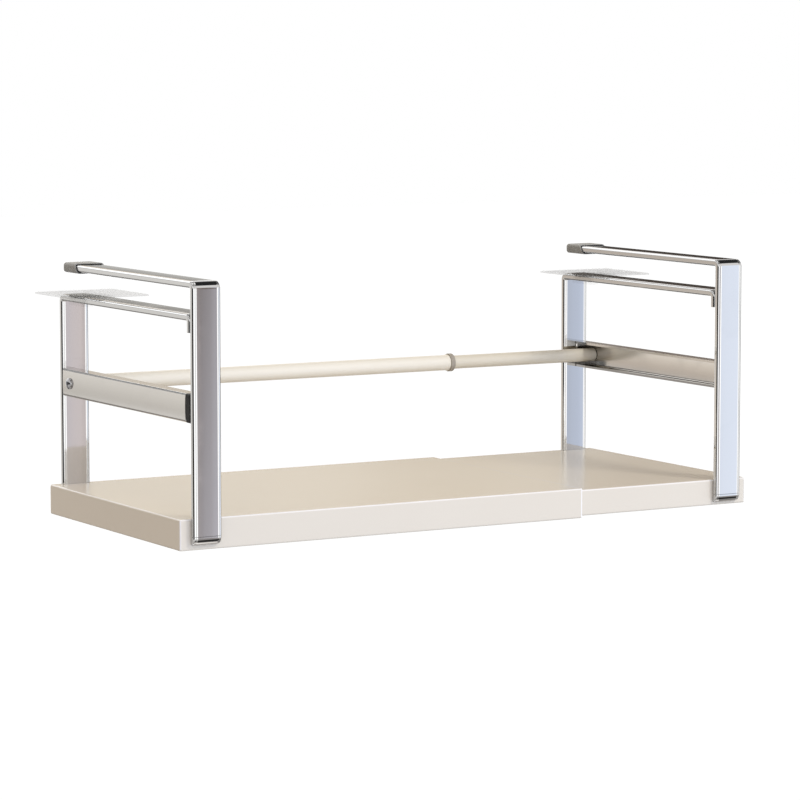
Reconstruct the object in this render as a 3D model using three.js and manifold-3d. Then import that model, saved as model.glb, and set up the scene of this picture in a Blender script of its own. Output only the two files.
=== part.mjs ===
// Expandable hanging shelf: two nested sheet decks carried by a bent strip frame at each end,
// with a telescopic guard rod along the back and a clear stick-on anchor plate on each lower arm.
// Millimetres, +Z up, +X along the shelf, +Y to the back.
// The pieces are laid out from the front face of the outer deck (y = 0) and its underside (z = 0).
import * as THREE from 'three';
import { mergeVertices } from 'three/addons/utils/BufferGeometryUtils.js';
import Module from 'manifold-3d';

const wasm = await Module();
wasm.setup();

// Clearances: pieces that are fastened together, and pieces that slide in one another
const seatGap = 0.2;
const slideGap = 0.4;
const rodGap = 0.3;
const runGap = 0.1;
const clipGap = 0.3;

// Decks, each a folded tray of sheet steel with its open side down
const openLength = 550;
const outerDeckLength = 380;
const innerDeckLength = 376;
const deckDepth = 250;
const deckHeight = 25.5;
const deckSheet = 1.2;
const deckLip = 14;
const deckCorner = 2;

// Flat tube that the hangers are bent from, with a shallow bevel along the edges of both faces
const stripWidth = 25;
const stripThickness = 6;
const stripWall = 1.2;
const stripFlat = 18;
const stripBevel = 0.7;
const bendInside = 1.5;

// Side frames
const frameInset = 9.5;
const shelfHeight = 215.2;
const boardGap = 20.3;
const hookReach = 235;
const tabDrop = 15;
const footLevel = 4.6;
const footHeight = 6.8;
const footRound = 5.6;
const plugDepth = 10;

// Soft cap on the end of each upper arm
const capLength = 29;
const capWall = 1;
const capEnd = 2;
const capSlant = 6;
const capRound = 3;

// Side rails, shallow trays of sheet steel that open to the inside
const railRise = 88.1;
const railHeight = 23.4;
const railDepth = 12;
const railSheet = 1.2;
const railLip = 2.5;
const railCorner = 1.5;
const railSpacer = 7;

// Telescopic rod
const rodSetback = 22.4;
const rodOuterDiameter = 13.8;
const rodWall = 0.6;
const rodEnd = 385;
const collarDiameter = 16.2;
const collarLength = 4.4;
const collarCover = 2.8;
const openingStroke = 100;
const bushLength = 12;
const bushPlug = 8;
const insertLength = 22;

// Anchor plates
const plateSize = 74;
const plateThickness = 1.2;
const plateCorner = 6;
const plateSetback = 4;
const clipLength = 30;
const clipSetback = 26;
const clipTop = 0.8;
const clipWall = 1.6;
const clipSlot = 12;
const padThickness = 0.8;
const padMargin = 2;

// Fasteners
const screwDiameter = 4;
const screwHeadDiameter = 7.6;
const screwHeadHeight = 2;
const screwPitch = 12;
const screwGrip = 3;
const screwRecess = 1;
const screwSlot = 1.1;
const boltDiameter = 5;
const boltHeadDiameter = 9.5;
const boltHeadHeight = 2.75;
const boltSocket = 3.2;
const boltSocketDepth = 1.6;
const boltReach = 14;
const holeGap = 0.3;
const headSide = 0.35;
const headShoulder = 0.84;

// Facets on round shapes
const bendSteps = 6;
const cornerSegments = 4;
const roundSegments = 32;
const screwSegments = 14;

// Sizes that follow from the driving dimensions
const nest = deckSheet + slideGap;
const rodInnerDiameter = rodOuterDiameter - 2 * rodWall - 2 * rodGap;
const lowerArmTop = shelfHeight - stripThickness - boardGap;
const footTop = footLevel + footHeight;
const railMiddle = deckHeight + railRise;
const rodY = deckDepth - rodSetback;
const halfLength = openLength / 2;
const holeDiameter = screwDiameter + 2 * holeGap;

const polishedSteel = new THREE.MeshStandardMaterial({ color: 0xc9ccd4, roughness: 0.15, metalness: 1 });
const satinSteel = new THREE.MeshStandardMaterial({ color: 0xcdc8c1, roughness: 0.3, metalness: 1 });
const creamPaint = new THREE.MeshStandardMaterial({ color: 0xe3d9c9, roughness: 0.45, metalness: 0 });
const creamRod = new THREE.MeshStandardMaterial({ color: 0xeae0cd, roughness: 0.35, metalness: 0 });
const greyPlastic = new THREE.MeshStandardMaterial({ color: 0x8c8a84, roughness: 0.6, metalness: 0 });
const blackPlastic = new THREE.MeshStandardMaterial({ color: 0x171615, roughness: 0.5, metalness: 0 });
const whiteNylon = new THREE.MeshStandardMaterial({ color: 0xe8e6e0, roughness: 0.5, metalness: 0 });
const clearPlastic = new THREE.MeshStandardMaterial({
  color: 0xe9e9ea,
  roughness: 0.15,
  metalness: 0,
  transparent: true,
  opacity: 0.5,
});
const clearGel = new THREE.MeshStandardMaterial({
  color: 0xf2f2f0,
  roughness: 0.3,
  metalness: 0,
  transparent: true,
  opacity: 0.6,
});
const zincSteel = new THREE.MeshStandardMaterial({ color: 0xb9b8b4, roughness: 0.3, metalness: 1 });

const shelf = new THREE.Group();

// Solids and the booleans on them

function toSolid(geometry) {
  const bare = geometry.clone();
  bare.deleteAttribute('normal');
  bare.deleteAttribute('uv');
  const merged = mergeVertices(bare);
  return new wasm.Manifold(new wasm.Mesh({
    numProp: 3,
    vertProperties: new Float32Array(merged.attributes.position.array),
    triVerts: new Uint32Array(merged.index.array),
  }));
}

function toGeometry(solid) {
  const { vertProperties, triVerts } = solid.getMesh();
  const geometry = new THREE.BufferGeometry();
  geometry.setAttribute('position', new THREE.BufferAttribute(vertProperties, 3));
  geometry.setIndex(new THREE.BufferAttribute(triVerts, 1));
  geometry.computeVertexNormals();
  return geometry;
}

function addPiece(name, solid, material) {
  const mesh = new THREE.Mesh(toGeometry(solid), material);
  mesh.name = name;
  shelf.add(mesh);
}

// Shapes extruded along one axis: the shape's own x and y become the two other axes in order

function extruded(shape, depth) {
  return new THREE.ExtrudeGeometry(shape, { depth, bevelEnabled: false, curveSegments: cornerSegments });
}

function alongX(shape, x0, x1) {
  const axes = new THREE.Matrix4().makeBasis(
    new THREE.Vector3(0, 1, 0),
    new THREE.Vector3(0, 0, 1),
    new THREE.Vector3(1, 0, 0),
  );
  return toSolid(extruded(shape, x1 - x0).applyMatrix4(axes).translate(x0, 0, 0));
}

function alongY(shape, y0, y1) {
  return toSolid(extruded(shape, y1 - y0).rotateX(Math.PI / 2).translate(0, y1, 0));
}

function alongZ(shape, z0, z1) {
  return toSolid(extruded(shape, z1 - z0).translate(0, 0, z0));
}

function box(x0, x1, y0, y1, z0, z1) {
  const geometry = new THREE.BoxGeometry(Math.abs(x1 - x0), Math.abs(y1 - y0), Math.abs(z1 - z0));
  return toSolid(geometry.translate((x0 + x1) / 2, (y0 + y1) / 2, (z0 + z1) / 2));
}

// A rectangle whose corner radii run from the low corner (u0, v0) anticlockwise
function roundedRect(u0, u1, v0, v1, radii) {
  const [lowLow, highLow, highHigh, lowHigh] = radii;
  const shape = new THREE.Shape();
  const corner = (u, v, radius, start) => {
    if (radius > 0) shape.absarc(u, v, radius, start, start + Math.PI / 2, false);
    else shape.lineTo(u, v);
  };
  shape.moveTo(u0, v0 + lowLow);
  corner(u0 + lowLow, v0 + lowLow, lowLow, Math.PI);
  corner(u1 - highLow, v0 + highLow, highLow, -Math.PI / 2);
  corner(u1 - highHigh, v1 - highHigh, highHigh, 0);
  corner(u0 + lowHigh, v1 - lowHigh, lowHigh, Math.PI / 2);
  return shape;
}

function cylinder(axis, diameter, centre, from, to, segments = roundSegments) {
  const length = Math.abs(to - from);
  const geometry = new THREE.CylinderGeometry(diameter / 2, diameter / 2, length, segments);
  const middle = (from + to) / 2;
  if (axis === 'x') return toSolid(geometry.rotateZ(-Math.PI / 2).translate(middle, centre[0], centre[1]));
  if (axis === 'z') return toSolid(geometry.rotateX(Math.PI / 2).translate(centre[0], centre[1], middle));
  return toSolid(geometry.translate(centre[0], middle, centre[1]));
}

// Strip: section and bent paths

function stripOutline(grow = 0) {
  const half = stripThickness / 2 + grow;
  const edge = stripWidth / 2 + grow;
  const flat = stripFlat / 2;
  const shoulder = half - stripBevel;
  return new THREE.Shape([
    new THREE.Vector2(half, -flat),
    new THREE.Vector2(half, flat),
    new THREE.Vector2(shoulder, edge),
    new THREE.Vector2(-shoulder, edge),
    new THREE.Vector2(-half, flat),
    new THREE.Vector2(-half, -flat),
    new THREE.Vector2(-shoulder, -edge),
    new THREE.Vector2(shoulder, -edge),
  ]);
}

function stripBore(shrink = 0) {
  const half = stripThickness / 2 - stripWall - shrink;
  const edge = stripWidth / 2 - 2 * stripWall - shrink;
  return roundedRect(-half, half, -edge, edge, [0, 0, 0, 0]);
}

// A path of straight runs and round bends in a plane of constant x, with one station at each end of a run
class BentPath extends THREE.Curve {
  constructor(x, corners) {
    super();
    this.stations = [];
    const radius = bendInside + stripThickness / 2;
    const points = corners.map(([y, z]) => new THREE.Vector3(x, y, z));
    points.forEach((point, index) => {
      const into = index > 0 ? point.clone().sub(points[index - 1]).normalize() : null;
      const out = index < points.length - 1 ? points[index + 1].clone().sub(point).normalize() : null;
      if (into && out) this.addBend(point, into, out, radius);
      else this.stations.push({ point, tangent: into || out });
    });
  }

  addBend(corner, into, out, radius) {
    const centre = corner.clone().addScaledVector(into, -radius).addScaledVector(out, radius);
    for (let step = 0; step <= bendSteps; step++) {
      const angle = (step / bendSteps) * (Math.PI / 2);
      const point = centre.clone()
        .addScaledVector(out, -radius * Math.cos(angle))
        .addScaledVector(into, radius * Math.sin(angle));
      const tangent = into.clone().multiplyScalar(Math.cos(angle)).addScaledVector(out, Math.sin(angle));
      this.stations.push({ point, tangent });
    }
  }

  stationAt(u) {
    return this.stations[Math.round(u * (this.stations.length - 1))];
  }

  getPointAt(u) {
    return this.stationAt(u).point.clone();
  }

  getTangentAt(u) {
    return this.stationAt(u).tangent.clone();
  }
}

function bentStrip(x, corners) {
  const path = new BentPath(x, corners);
  const section = stripOutline();
  section.holes.push(stripBore());
  return toSolid(new THREE.ExtrudeGeometry(section, { steps: path.stations.length - 1, extrudePath: path }));
}

// Fasteners

// A domed head on top of a plain shank, standing on z = 0 with the shank down
function headedPin(headDiameter, headHeight, diameter, length) {
  const profile = new THREE.Path();
  profile.moveTo(0, -length);
  profile.lineTo(diameter / 2, -length);
  profile.lineTo(diameter / 2, 0);
  profile.lineTo(headDiameter / 2, 0);
  profile.lineTo(headDiameter / 2, headHeight * headSide);
  profile.quadraticCurveTo((headDiameter / 2) * headShoulder, headHeight, 0, headHeight);
  const geometry = new THREE.LatheGeometry(profile.getPoints(cornerSegments), screwSegments);
  return geometry.rotateX(Math.PI / 2);
}

// Points a fastener's head along a direction and sets the underside of the head at a point
function placed(geometry, towards, point) {
  const turn = new THREE.Quaternion().setFromUnitVectors(new THREE.Vector3(0, 0, 1), towards);
  return toSolid(geometry.applyQuaternion(turn).translate(point.x, point.y, point.z));
}

function crossHeadScrew(towards, point, grip) {
  const pin = toSolid(headedPin(screwHeadDiameter, screwHeadHeight, screwDiameter, grip + screwGrip));
  const half = screwHeadDiameter / 4;
  const floor = screwHeadHeight - screwRecess;
  const slotA = box(-half, half, -screwSlot / 2, screwSlot / 2, floor, screwHeadHeight * 2);
  const slotB = box(-screwSlot / 2, screwSlot / 2, -half, half, floor, screwHeadHeight * 2);
  return placed(toGeometry(pin.subtract(slotA.add(slotB))), towards, point);
}

function socketBolt(towards, point) {
  const pin = toSolid(headedPin(boltHeadDiameter, boltHeadHeight, boltDiameter, boltReach));
  const floor = boltHeadHeight - boltSocketDepth;
  const socket = cylinder('z', boltSocket * 2 / Math.sqrt(3), [0, 0], floor, boltHeadHeight * 2, 6);
  return placed(toGeometry(pin.subtract(socket)), towards, point);
}

// Decks

const outerDeck = {
  front: 0,
  rear: deckDepth,
  bottom: 0,
  top: deckHeight,
  closedEnd: -halfLength,
  openEnd: -halfLength + outerDeckLength,
};
const innerDeck = {
  front: nest,
  rear: deckDepth - nest,
  bottom: nest,
  top: deckHeight - nest,
  closedEnd: halfLength,
  openEnd: halfLength - innerDeckLength,
};

// The tray's outline grown or shrunk evenly, closed at one end and run past the open end when it is a cut
function trayBlock(deck, inset, overrun) {
  const side = Math.sign(deck.closedEnd);
  const closed = deck.closedEnd - side * inset;
  const open = deck.openEnd - side * overrun;
  const x0 = Math.min(closed, open);
  const x1 = Math.max(closed, open);
  const y0 = deck.front + inset;
  const y1 = deck.rear - inset;
  const z0 = deck.bottom + inset;
  const z1 = deck.top - inset;
  const round = Math.max(deckCorner - inset, 0);
  const length = alongX(roundedRect(y0, y1, z0, z1, [0, 0, round, round]), x0, x1);
  const ends = side < 0 ? [0, 0, 0, round] : [0, 0, round, 0];
  const depth = alongY(roundedRect(x0, x1, z0, z1, ends), y0, y1);
  const corners = side < 0 ? [round, 0, 0, round] : [0, round, round, 0];
  const height = alongZ(roundedRect(x0, x1, y0, y1, corners), z0, z1);
  return length.intersect(depth).intersect(height);
}

function deckTray(deck) {
  const side = Math.sign(deck.closedEnd);
  const cavity = trayBlock(deck, deckSheet, deckSheet);
  const mouth = box(
    deck.closedEnd - side * deckLip,
    deck.openEnd - side * deckSheet,
    deck.front + deckLip,
    deck.rear - deckLip,
    deck.bottom - deckSheet,
    deck.bottom + deckSheet * 2,
  );
  return trayBlock(deck, 0, 0).subtract(cavity).subtract(mouth);
}

// Side frames: places that the pieces of one frame share

function frameLayout(side, deck) {
  const outside = side * (halfLength - frameInset);
  const rearFace = deck.rear - deckSheet - seatGap;
  const frontFace = deck.front - seatGap;
  return {
    side,
    deck,
    outside,
    middle: outside - side * stripWidth / 2,
    frontUprightRear: frontFace,
    frontUprightMiddle: frontFace - stripThickness / 2,
    rearUprightFront: rearFace - stripThickness,
    rearUprightMiddle: rearFace - stripThickness / 2,
    tabMiddle: frontFace + seatGap + stripThickness / 2,
    frontScrewZ: (footTop + deck.top) / 2 + seatGap,
    rearScrewZ: (deck.bottom + deck.top) / 2,
    tabScrewZ: lowerArmTop - (tabDrop + stripThickness) / 2,
    railFront: frontFace + seatGap + railSpacer + seatGap,
    railRear: rearFace - stripThickness - seatGap,
    railBack: outside - side * railDepth,
  };
}

const leftFrame = frameLayout(-1, outerDeck);
const rightFrame = frameLayout(1, innerDeck);

function screwColumns(frame) {
  return [frame.middle - screwPitch / 2, frame.middle + screwPitch / 2];
}

// Holes right through along Y for the screws of one row
function screwHoles(columns, y0, y1, z) {
  return columns
    .map((x) => cylinder('y', holeDiameter, [x, z], y0, y1, screwSegments))
    .reduce((all, hole) => all.add(hole));
}

function deckWithHoles(deck, frame) {
  const slot = box(
    frame.middle - stripWidth / 2 - seatGap,
    frame.middle + stripWidth / 2 + seatGap,
    frame.rearUprightFront - seatGap,
    deck.rear - deckSheet,
    deck.top - 2 * deckSheet,
    deck.top + deckSheet,
  );
  const front = screwHoles(
    screwColumns(frame),
    deck.front - deckSheet,
    deck.front + 2 * deckSheet,
    frame.frontScrewZ,
  );
  const rear = screwHoles(
    screwColumns(frame),
    deck.rear - 2 * deckSheet,
    deck.rear + deckSheet,
    frame.rearScrewZ,
  );
  return deckTray(deck).subtract(slot).subtract(front).subtract(rear);
}

function frontHanger(frame) {
  const top = shelfHeight - stripThickness / 2;
  const strip = bentStrip(frame.middle, [
    [frame.frontUprightMiddle, footTop],
    [frame.frontUprightMiddle, top],
    [hookReach, top],
  ]);
  const wallStart = frame.frontUprightMiddle;
  const wallEnd = frame.frontUprightRear + stripWall;
  const deckHoles = screwHoles(screwColumns(frame), wallStart, wallEnd, frame.frontScrewZ);
  const tabHole = screwHoles([frame.middle], wallStart, wallEnd, frame.tabScrewZ);
  const railHole = screwHoles([railScrewX(frame)], wallStart, wallEnd, railMiddle);
  return strip.subtract(deckHoles).subtract(tabHole).subtract(railHole);
}

function rearHanger(frame) {
  const armMiddle = lowerArmTop - stripThickness / 2;
  const strip = bentStrip(frame.middle, [
    [frame.rearUprightMiddle, frame.deck.bottom + deckSheet + seatGap],
    [frame.rearUprightMiddle, armMiddle],
    [frame.tabMiddle, armMiddle],
    [frame.tabMiddle, lowerArmTop - tabDrop],
  ]);
  const deckHoles = screwHoles(
    screwColumns(frame),
    frame.rearUprightMiddle,
    frame.rearUprightMiddle + stripThickness,
    frame.rearScrewZ,
  );
  const tabHole = screwHoles(
    [frame.middle],
    frame.tabMiddle - stripThickness,
    frame.tabMiddle + stripThickness,
    frame.tabScrewZ,
  );
  const railHole = screwHoles(
    [railScrewX(frame)],
    frame.rearUprightFront - stripWall,
    frame.rearUprightMiddle,
    railMiddle,
  );
  return strip.subtract(deckHoles).subtract(tabHole).subtract(railHole);
}

// A plug in the foot of the front upright, rounded like the bend at its top
function footPlug(frame) {
  const z0 = footLevel;
  const z1 = footTop - seatGap;
  const y0 = frame.frontUprightMiddle - stripThickness / 2;
  const y1 = frame.frontUprightMiddle + stripThickness / 2;
  const x0 = frame.middle - stripWidth / 2;
  const x1 = frame.middle + stripWidth / 2;
  const edge = Math.min(footRound, footHeight - stripWall);
  const side = alongX(roundedRect(y0, y1, z0, z1, [edge, 0, 0, 0]), x0, x1);
  const face = alongY(roundedRect(x0, x1, z0, z1, [edge / 2, edge / 2, 0, 0]), y0, y1);
  const outline = upright(stripOutline(), frame, z0, z1);
  const spigot = upright(stripBore(seatGap), frame, z1 - seatGap, footTop + plugDepth);
  const screwRoom = screwHoles(screwColumns(frame), y0 + stripWall, y1, frame.frontScrewZ);
  return side.intersect(face).intersect(outline).add(spigot.subtract(screwRoom));
}

// A shape given as (thickness, width) stood up along Z on the front upright
function upright(shape, frame, z0, z1) {
  const geometry = extruded(shape, z1 - z0).rotateZ(Math.PI / 2);
  return toSolid(geometry.translate(frame.middle, frame.frontUprightMiddle, z0));
}

function armCap(frame) {
  const rear = hookReach + seatGap + capEnd;
  const front = rear - capLength;
  const skin = capWall + seatGap;
  const z0 = shelfHeight - stripThickness - skin;
  const z1 = shelfHeight + skin;
  const x0 = frame.middle - stripWidth / 2 - skin;
  const x1 = frame.middle + stripWidth / 2 + skin;
  const profile = new THREE.Shape();
  profile.moveTo(front, z0);
  profile.lineTo(rear - capRound, z0);
  profile.absarc(rear - capRound, z0 + capRound, capRound, -Math.PI / 2, 0, false);
  profile.absarc(rear - capRound, z1 - capRound, capRound, 0, Math.PI / 2, false);
  profile.lineTo(front + capSlant, z1);
  const length = alongX(profile, x0, x1);
  const plan = alongZ(roundedRect(x0, x1, front, rear, [0, 0, capRound, capRound]), z0, z1);
  const section = alongY(roundedRect(x0, x1, z0, z1, [capRound, capRound, capRound, capRound]), front, rear);
  const bore = extruded(stripOutline(seatGap), capLength).rotateZ(Math.PI / 2).rotateX(Math.PI / 2);
  bore.translate(frame.middle, hookReach + seatGap, shelfHeight - stripThickness / 2);
  return length.intersect(plan).intersect(section).subtract(toSolid(bore));
}

// Side rail with its spacer

function railScrewX(frame) {
  return (frame.outside - frame.side * railSheet + frame.railBack) / 2;
}

function railTray(frame, inset, reach) {
  const z0 = railMiddle - railHeight / 2 + inset;
  const z1 = railMiddle + railHeight / 2 - inset;
  const outer = frame.outside - frame.side * inset;
  const inner = frame.railBack - frame.side * reach;
  const x0 = Math.min(outer, inner);
  const x1 = Math.max(outer, inner);
  const round = Math.max(railCorner - inset, 0);
  const y0 = frame.railFront + inset;
  const y1 = frame.railRear - inset;
  const corners = frame.side < 0 ? [round, 0, 0, round] : [0, round, round, 0];
  const length = alongY(roundedRect(x0, x1, z0, z1, corners), y0, y1);
  return length.intersect(alongZ(roundedRect(x0, x1, y0, y1, corners), z0, z1));
}

function sideRail(frame) {
  const cavity = railTray(frame, railSheet, -railSheet);
  const half = railHeight / 2 - railSheet - railLip;
  const window = box(
    frame.railBack - frame.side * railSheet,
    frame.railBack + frame.side * 2 * railSheet,
    frame.railFront + railSheet,
    frame.railRear - railSheet,
    railMiddle - half,
    railMiddle + half,
  );
  const boltHole = cylinder(
    'x',
    boltDiameter + 2 * holeGap,
    [rodY, railMiddle],
    frame.outside + frame.side * railSheet,
    frame.outside - frame.side * 2 * railSheet,
    screwSegments,
  );
  const x = [railScrewX(frame)];
  const frontHole = screwHoles(x, frame.railFront - railSheet, frame.railFront + 2 * railSheet, railMiddle);
  const rearHole = screwHoles(x, frame.railRear - 2 * railSheet, frame.railRear + railSheet, railMiddle);
  return railTray(frame, 0, 0)
    .subtract(cavity)
    .subtract(window)
    .subtract(boltHole)
    .subtract(frontHole)
    .subtract(rearHole);
}

// A block between the rail's front end and the front upright, with a screw right through it
function railBlock(frame) {
  const block = roundedRect(
    Math.min(frame.outside, frame.railBack),
    Math.max(frame.outside, frame.railBack),
    railMiddle - railHeight / 2,
    railMiddle + railHeight / 2,
    [railCorner, railCorner, railCorner, railCorner],
  );
  const y0 = frame.frontUprightRear + seatGap;
  const hole = screwHoles([railScrewX(frame)], y0 - seatGap, y0 + railSpacer + seatGap, railMiddle);
  return alongY(block, y0, y0 + railSpacer).subtract(hole);
}

// Rod

const rodAxis = [rodY, railMiddle];
const leftWeb = leftFrame.outside + railSheet + seatGap;
const rightWeb = rightFrame.outside - railSheet - seatGap;
const outerTubeEnd = -halfLength + rodEnd;
const collarStart = outerTubeEnd - collarCover;
const bushEnd = outerTubeEnd - openingStroke;

function tube(diameter, bore, x0, x1) {
  const run = cylinder('x', diameter, rodAxis, x0, x1);
  return run.subtract(cylinder('x', bore, rodAxis, x0 - rodWall, x1 + rodWall));
}

// A sleeve over the end of the outer tube with a smaller mouth that guides the inner tube
function rodCollar() {
  const end = collarStart + collarLength;
  const body = cylinder('x', collarDiameter, rodAxis, collarStart, end);
  const shoulder = outerTubeEnd + seatGap;
  const seat = cylinder('x', rodOuterDiameter + 2 * seatGap, rodAxis, collarStart - seatGap, shoulder);
  const mouth = cylinder('x', rodInnerDiameter + 2 * runGap, rodAxis, collarStart, end + seatGap);
  return body.subtract(seat).subtract(mouth);
}

// A bush on the inner tube's hidden end that runs in the outer tube and stops at the collar
function rodBush() {
  const running = rodOuterDiameter - 2 * rodWall - 2 * runGap;
  const core = rodInnerDiameter - 2 * rodWall - 2 * seatGap;
  const head = cylinder('x', running, rodAxis, bushEnd - bushLength, bushEnd);
  return head.add(cylinder('x', core, rodAxis, bushEnd - seatGap, bushEnd + bushPlug));
}

// A threaded insert in a tube's outer end that takes the bolt through the rail
function rodInsert(bore, web, side) {
  const inward = -side * insertLength;
  const body = cylinder('x', bore - 2 * seatGap, rodAxis, web, web + inward);
  const thread = cylinder(
    'x',
    boltDiameter + 2 * seatGap,
    rodAxis,
    web + side * seatGap,
    web - side * boltReach,
    screwSegments,
  );
  return body.subtract(thread);
}

function rodBolt(frame) {
  const head = frame.outside + frame.side * seatGap;
  const point = new THREE.Vector3(head, rodY, railMiddle);
  return socketBolt(new THREE.Vector3(frame.side, 0, 0), point);
}

// Anchor plates

// A clear plate on a clip that slides along the lower arm
function anchorPlate(frame) {
  const rear = deckDepth - plateSetback;
  const half = plateSize / 2;
  const z0 = lowerArmTop + clipGap + clipTop;
  const corners = [plateCorner, plateCorner, plateCorner, plateCorner];
  const outline = roundedRect(frame.middle - half, frame.middle + half, rear - plateSize, rear, corners);
  const plate = alongZ(outline, z0, z0 + plateThickness);
  const reach = stripWidth / 2 + clipGap;
  const clipRear = deckDepth - clipSetback;
  const clipFront = clipRear - clipLength;
  const under = lowerArmTop - stripThickness - clipGap;
  const outside = box(
    frame.middle - reach - clipWall,
    frame.middle + reach + clipWall,
    clipFront,
    clipRear,
    under - clipWall,
    z0 + plateThickness / 2,
  );
  const room = box(
    frame.middle - reach,
    frame.middle + reach,
    clipFront - clipWall,
    clipRear + clipWall,
    under,
    lowerArmTop + clipGap,
  );
  const slot = box(
    frame.middle - clipSlot / 2,
    frame.middle + clipSlot / 2,
    clipFront - clipWall,
    clipRear + clipWall,
    under - 2 * clipWall,
    lowerArmTop,
  );
  return plate.add(outside.subtract(room).subtract(slot));
}

function adhesivePad(frame) {
  const rear = deckDepth - plateSetback - padMargin;
  const half = plateSize / 2 - padMargin;
  const round = Math.max(plateCorner - padMargin, 0);
  const z0 = lowerArmTop + clipGap + clipTop + plateThickness + seatGap;
  const outline = roundedRect(
    frame.middle - half,
    frame.middle + half,
    rear - 2 * half,
    rear,
    [round, round, round, round],
  );
  return alongZ(outline, z0, z0 + padThickness);
}

// Screws of one side frame, each with its head on the piece that it pulls tight

const toBack = new THREE.Vector3(0, 1, 0);
const toFront = new THREE.Vector3(0, -1, 0);

function frameScrews(frame, name) {
  const deck = frame.deck;
  screwColumns(frame).forEach((x, index) => {
    const inside = new THREE.Vector3(x, deck.front + deckSheet + seatGap, frame.frontScrewZ);
    const outside = new THREE.Vector3(x, deck.rear + seatGap, frame.rearScrewZ);
    addPiece(`${name}_front_deck_screw_${index + 1}`, crossHeadScrew(toBack, inside, deckSheet), zincSteel);
    addPiece(`${name}_rear_deck_screw_${index + 1}`, crossHeadScrew(toBack, outside, deckSheet), zincSteel);
  });
  const tabRear = frame.tabMiddle + stripThickness / 2 + seatGap;
  const tab = new THREE.Vector3(frame.middle, tabRear, frame.tabScrewZ);
  addPiece(`${name}_tab_screw`, crossHeadScrew(toBack, tab, stripThickness), zincSteel);
  const railX = railScrewX(frame);
  const front = new THREE.Vector3(railX, frame.railFront + railSheet + seatGap, railMiddle);
  const rear = new THREE.Vector3(railX, frame.railRear - railSheet - seatGap, railMiddle);
  addPiece(`${name}_rail_front_screw`, crossHeadScrew(toBack, front, railSheet + railSpacer), zincSteel);
  addPiece(`${name}_rail_rear_screw`, crossHeadScrew(toFront, rear, railSheet), zincSteel);
}

// The whole shelf

addPiece('outer_deck', deckWithHoles(outerDeck, leftFrame), creamPaint);
addPiece('inner_deck', deckWithHoles(innerDeck, rightFrame), creamPaint);

for (const [name, frame] of [['left', leftFrame], ['right', rightFrame]]) {
  addPiece(`${name}_front_hanger`, frontHanger(frame), polishedSteel);
  addPiece(`${name}_rear_hanger`, rearHanger(frame), polishedSteel);
  addPiece(`${name}_foot_plug`, footPlug(frame), polishedSteel);
  addPiece(`${name}_arm_cap`, armCap(frame), greyPlastic);
  addPiece(`${name}_side_rail`, sideRail(frame), satinSteel);
  addPiece(`${name}_rail_block`, railBlock(frame), blackPlastic);
  addPiece(`${name}_anchor_plate`, anchorPlate(frame), clearPlastic);
  addPiece(`${name}_adhesive_pad`, adhesivePad(frame), clearGel);
  addPiece(`${name}_rod_bolt`, rodBolt(frame), zincSteel);
  frameScrews(frame, name);
}

const outerBore = rodOuterDiameter - 2 * rodWall;
const innerBore = rodInnerDiameter - 2 * rodWall;
addPiece('rod_outer_tube', tube(rodOuterDiameter, outerBore, leftWeb, outerTubeEnd), creamRod);
addPiece('rod_inner_tube', tube(rodInnerDiameter, innerBore, bushEnd, rightWeb), creamRod);
addPiece('rod_collar', rodCollar(), greyPlastic);
addPiece('rod_bush', rodBush(), whiteNylon);
addPiece('left_rod_insert', rodInsert(outerBore, leftWeb, -1), zincSteel);
addPiece('right_rod_insert', rodInsert(innerBore, rightWeb, 1), zincSteel);

// The origin stands under the middle of the shelf's whole depth, front uprights and rear screw heads included
const foremost = leftFrame.frontUprightMiddle - stripThickness / 2;
const rearmost = outerDeck.rear + seatGap + screwHeadHeight;
shelf.position.y = -(foremost + rearmost) / 2;

export default shelf;
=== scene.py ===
"""Expandable hanging shelf: two nested cream trays, a frame of bent flat tube at each end,
a telescopic guard rod along the back and a clear anchor plate on each lower arm."""

import math

import bmesh
import bpy
from mathutils import Matrix, Vector


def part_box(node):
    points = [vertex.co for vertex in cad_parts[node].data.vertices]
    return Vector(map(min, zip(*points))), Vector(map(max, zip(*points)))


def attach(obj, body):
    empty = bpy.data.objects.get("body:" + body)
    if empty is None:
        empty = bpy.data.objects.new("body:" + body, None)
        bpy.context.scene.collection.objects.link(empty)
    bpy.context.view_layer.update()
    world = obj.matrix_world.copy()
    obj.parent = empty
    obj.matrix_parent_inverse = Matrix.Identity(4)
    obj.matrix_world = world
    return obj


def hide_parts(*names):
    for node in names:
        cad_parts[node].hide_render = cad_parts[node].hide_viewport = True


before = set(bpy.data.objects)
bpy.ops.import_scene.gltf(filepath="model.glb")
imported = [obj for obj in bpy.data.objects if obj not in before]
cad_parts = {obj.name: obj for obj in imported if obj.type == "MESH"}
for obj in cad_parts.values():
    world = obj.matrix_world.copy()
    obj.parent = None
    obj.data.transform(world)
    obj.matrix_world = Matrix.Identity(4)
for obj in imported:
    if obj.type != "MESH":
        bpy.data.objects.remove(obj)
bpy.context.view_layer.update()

MM = 0.001
SAME_PLACE = 1e-6
WELD = 1e-7
SIDES = ("left", "right")
scene = bpy.context.scene


# Sizes of the pieces, where the frame's boxes don't give them

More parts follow.
